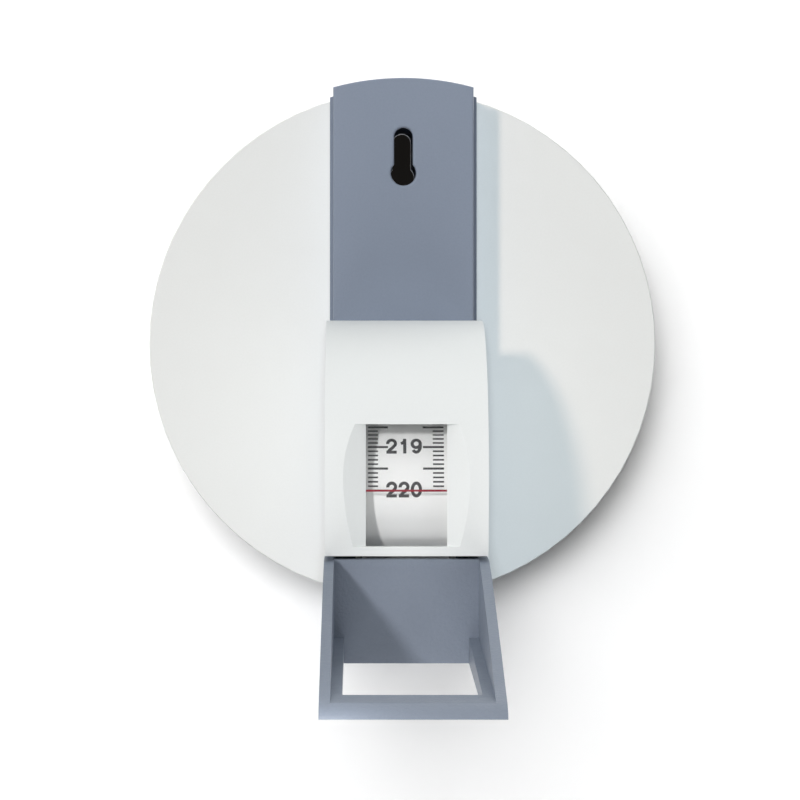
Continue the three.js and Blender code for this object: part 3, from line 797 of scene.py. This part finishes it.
# Tape: the wound roll with its outer turn as a spiral, and the free run up to the clamp

ROLL_RADIUS = 22
ROLL_BORE = 17.32
TAPE_HALF = 10
ROLL_STEPS = 216
RUN_STEPS = 48
CLAMP_UP = 1


def roll_radius(angle):
    """Radius of the outer turn, from the back of the drum round under it."""
    return ROLL_RADIUS - FILM * (angle + math.pi) / (2 * math.pi)


def on_roll(x, angle, radius):
    """A place round the drum; angle 0 faces away from the wall, and it grows upwards."""
    return DRUM_CENTRE + Vector((
        x * MM, -radius * math.cos(angle) * MM, radius * math.sin(angle) * MM
    ))


def wound_roll():
    bm = bmesh.new()
    rows = []
    for step in range(ROLL_STEPS + 1):
        angle = -math.pi + 2 * math.pi * step / ROLL_STEPS
        rows.append([
            bm.verts.new(on_roll(x, angle, radius))
            for x, radius in (
                (-TAPE_HALF, roll_radius(angle)),
                (TAPE_HALF, roll_radius(angle)),
                (TAPE_HALF, ROLL_BORE),
                (-TAPE_HALF, ROLL_BORE),
            )
        ])
    for here, there in zip(rows, rows[1:]):
        for corner in range(4):
            after = (corner + 1) % 4
            face = bm.faces.new((here[corner], there[corner], there[after], here[after]))
            face.material_index = corner % 2
    bmesh.ops.remove_doubles(bm, verts=bm.verts, dist=SAME_PLACE * MM)
    bm.faces.new((rows[0][0], rows[0][1], rows[-1][1], rows[-1][0]))
    bmesh.ops.recalc_face_normals(bm, faces=bm.faces)
    return piece("tape_roll", bm, "drum", [tape_film, tape_edge], ("wound_tape",))


def free_run():
    """The free strip of tape up to the clamp, built once in the box of its CAD node; nothing here
    makes it longer as the carriage is pulled down.
    """
    low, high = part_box("tape_run")
    section = ((low[0], low[1]), (high[0], low[1]), (high[0], high[1]), (low[0], high[1]))
    bm = bmesh.new()
    rows = []
    for step in range(RUN_STEPS + 1):
        z = low[2] + (high[2] - low[2]) * step / RUN_STEPS
        rows.append([bm.verts.new((x, y, z)) for x, y in section])
    for here, there in zip(rows, rows[1:]):
        for corner in range(4):
            after = (corner + 1) % 4
            bm.faces.new((here[corner], here[after], there[after], there[corner]))
    bm.faces.new(rows[0])
    bm.faces.new(reversed(rows[-1]))
    bmesh.ops.recalc_face_normals(bm, faces=bm.faces)
    middle = (low[1] + high[1]) / 2
    start = (0, middle, spot(0, 0, CLAMP_UP).z)
    end = (0, middle, spot(0, 0, DRUM_UP).z)
    return piece(
        "tape_run_strip", bm, None, [tape_film], ("tape_run",),
        ("hanger", "carriage", start, end),
    )


tape_roll = wound_roll()
free_run()


# Printed scale: millimetre marks at both sides and a number for each centimetre

SCALE_START = 214
SCALE_END = 220
LINE_ANGLE = -3.3
LEFT_MARKS = {"start": -8.62, "short": -6.36, "long": -4.1}
RIGHT_MARKS = {"end": 8.54, "short": 6.05, "long": 3.8}
FINE = 0.38
BOLD = 0.5
DIGIT_HEIGHT = 3.63
DIGIT_WIDTH = 2.55
DIGIT_PITCH = 2.79
STEM = 0.72
NUMBER_MIDDLE = -0.49
NUMBER_RISE = 0.25
INK_LIFT = 0.03
LAYER_LIFT = 0.004
INK_STEP = 0.4
ARC_STEP = 9
ARC_LEAST = 6


def arc(cx, cy, rx, ry, start, stop):
    """Points of an ellipse's arc between two angles in degrees."""
    steps = max(ARC_LEAST, int(abs(stop - start) / ARC_STEP))
    angles = [math.radians(start + (stop - start) * step / steps) for step in range(steps + 1)]
    return [(cx + rx * math.cos(a), cy + ry * math.sin(a)) for a in angles]


# Centre lines of the digits' strokes in a unit box
DIGITS = {
    "0": [arc(0.5, 0.5, 0.5, 0.5, 90, 450)],
    "1": [[(0.12, 0.71), (0.38, 0.76), (0.55, 0.88), (0.6, 1.1)], [(0.6, 1.11), (0.6, -0.11)]],
    "2": [
        arc(0.5, 0.71, 0.48, 0.29, 188, -28) + [(0.62, 0.36), (0.3, 0.2), (0.05, 0)],
        [(-0.14, 0), (1.13, 0)],
    ],
    "4": [[(0.72, 1.11), (0.72, -0.11)], [(0.66, 1), (0.0, 0.28)], [(-0.1, 0.28), (1.15, 0.28)]],
    "5": [
        [(0.12, 1), (1.02, 1)], [(0.22, 1.05), (0.08, 0.48)],
        arc(0.47, 0.31, 0.5, 0.31, 140, -165),
    ],
    "6": [arc(0.5, 0.31, 0.5, 0.31, 90, 450), arc(0.5, 0.5, 0.5, 0.5, 40, 200)],
    "7": [[(-0.05, 1), (1.1, 1)], [(1, 0.98), (0.62, 0.5), (0.4, -0.11)]],
    "8": [arc(0.5, 0.76, 0.42, 0.24, 90, 450), arc(0.5, 0.27, 0.5, 0.27, 90, 450)],
    "9": [arc(0.5, 0.69, 0.5, 0.31, 90, 450), arc(0.5, 0.5, 0.5, 0.5, -140, 20)],
}


def close_points(points, gap):
    """The same polyline with no two points further apart than the gap."""
    dense = [points[0]]
    for a, b in zip(points, points[1:]):
        count = max(1, math.ceil(math.dist(a, b) / gap))
        dense += [
            (a[0] + (b[0] - a[0]) * k / count, a[1] + (b[1] - a[1]) * k / count)
            for k in range(1, count + 1)
        ]
    return dense


def stroke(bm, points, width, place):
    """A flat ribbon along a polyline, laid where place puts each of its points."""
    points = close_points(points, INK_STEP)
    closed = math.dist(points[0], points[-1]) < SAME_PLACE
    last = len(points) - 1
    left = []
    right = []
    for k, (x, y) in enumerate(points):
        before = points[last - 1 if closed and k == 0 else max(k - 1, 0)]
        after = points[1 if closed and k == last else min(k + 1, last)]
        along_x = after[0] - before[0]
        along_y = after[1] - before[1]
        size = math.hypot(along_x, along_y)
        side_x = -along_y / size * width / 2
        side_y = along_x / size * width / 2
        left.append(bm.verts.new(place(x + side_x, y + side_y)))
        right.append(bm.verts.new(place(x - side_x, y - side_y)))
    for k in range(last):
        bm.faces.new((left[k], right[k], right[k + 1], left[k + 1]))


def scale_angle(centimetres):
    """Where a height stands on the outer turn; the scale's end is under the reading line."""
    return math.radians(LINE_ANGLE) + (SCALE_END - centimetres) * 10 / ROLL_RADIUS


def laid_at(centimetres, lift):
    """Gives what lays flat points on the outer turn, round the mark of a height."""
    def place(x, y):
        angle = scale_angle(centimetres) + y / ROLL_RADIUS
        return on_roll(x, angle, roll_radius(angle) + lift)
    return place


def printed_scale():
    bm = bmesh.new()
    for millimetres in range(SCALE_START * 10, SCALE_END * 10 + 1):
        place = laid_at(millimetres / 10, INK_LIFT)
        size = "short" if millimetres % 5 else "long"
        width = FINE if millimetres % 5 else BOLD
        stroke(bm, [(LEFT_MARKS["start"], 0), (LEFT_MARKS[size], 0)], width, place)
        stroke(bm, [(RIGHT_MARKS[size], 0), (RIGHT_MARKS["end"], 0)], width, place)
    run = DIGIT_WIDTH - STEM
    rise = DIGIT_HEIGHT - STEM
    for centimetres in range(SCALE_START, SCALE_END + 1):
        for column, digit in enumerate(str(centimetres)):
            middle = NUMBER_MIDDLE + (column - 1) * DIGIT_PITCH
            for layer, points in enumerate(DIGITS[digit]):
                place = laid_at(centimetres, INK_LIFT + LAYER_LIFT * layer)
                stroke(bm, [
                    (middle + (x - 0.5) * run, NUMBER_RISE + (y - 0.5) * rise) for x, y in points
                ], STEM, place)
    for face in bm.faces:
        outward = face.calc_center_median() - DRUM_CENTRE
        outward.x = 0
        if face.normal.dot(outward) < 0:
            face.normal_flip()
    return piece("tape_scale", bm, "drum", [black_ink])


tape_scale = printed_scale()


# What each lamp lights, and what casts the shadows of the wall's lamps


def group_of(name, objects, state):
    group = bpy.data.collections.new(name)
    for item in objects:
        group.objects.link(item)
    for row in group.collection_objects:
        row.light_linking.link_state = state
    return group


stage = [wall, keyhole_shade_sheet, floor]
tape_pieces = [tape_roll, tape_scale]
receivers = [
    ([key_lamp], "not_tape", [*stage, disc_piece, *tape_pieces], "EXCLUDE"),
    (round_lamps, "not_disc", [*stage, disc_piece], "EXCLUDE"),
    ([back_lamp], "not_stage", stage, "EXCLUDE"),
    (disc_lamps, "only_disc", [disc_piece], "INCLUDE"),
    ([stop_lamp], "only_stop", [stop_piece], "INCLUDE"),
    (tape_lamps, "only_tape", tape_pieces, "INCLUDE"),
    ([floor_lamp], "only_floor", [floor], "INCLUDE"),
    ([wall_lamp, near_lamp, close_lamp], "only_stage", stage, "INCLUDE"),
]
blockers = [
    ([wall_lamp], "disc_shadow", [disc_piece, hanger_piece]),
    ([near_lamp, close_lamp], "disc_and_stop_shadow", [disc_piece, stop_piece]),
]
for lamps, name, objects, state in receivers:
    group = group_of(name, objects, state)
    for lamp in lamps:
        lamp.light_linking.receiver_collection = group
for lamps, name, objects in blockers:
    group = group_of(name, objects, "INCLUDE")
    for lamp in lamps:
        lamp.light_linking.blocker_collection = group


# CAD nodes that stay in view get their finish in their own slots


def dress(material, *names):
    for name in names:
        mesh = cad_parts[name].data
        if not mesh.materials:
            mesh.materials.append(material)
        for index in range(len(mesh.materials)):
            mesh.materials[index] = material


dress(clear_pane, "window_pane")
dress(red_ink, "reading_line")
dress(steel, "tape_clamp_bar")
dress(shaft_steel, "drum_axle", "tape_guide_pin")
dress(spring_steel, "power_spring", "axle_clip_left", "axle_clip_right")
dress(
    inner_plastic, "drum_hub", "spring_arbor", "drum_flange_left", "drum_flange_right",
    "axle_bush_left", "axle_bush_right", "drum_cheek_left", "drum_cheek_right",
)
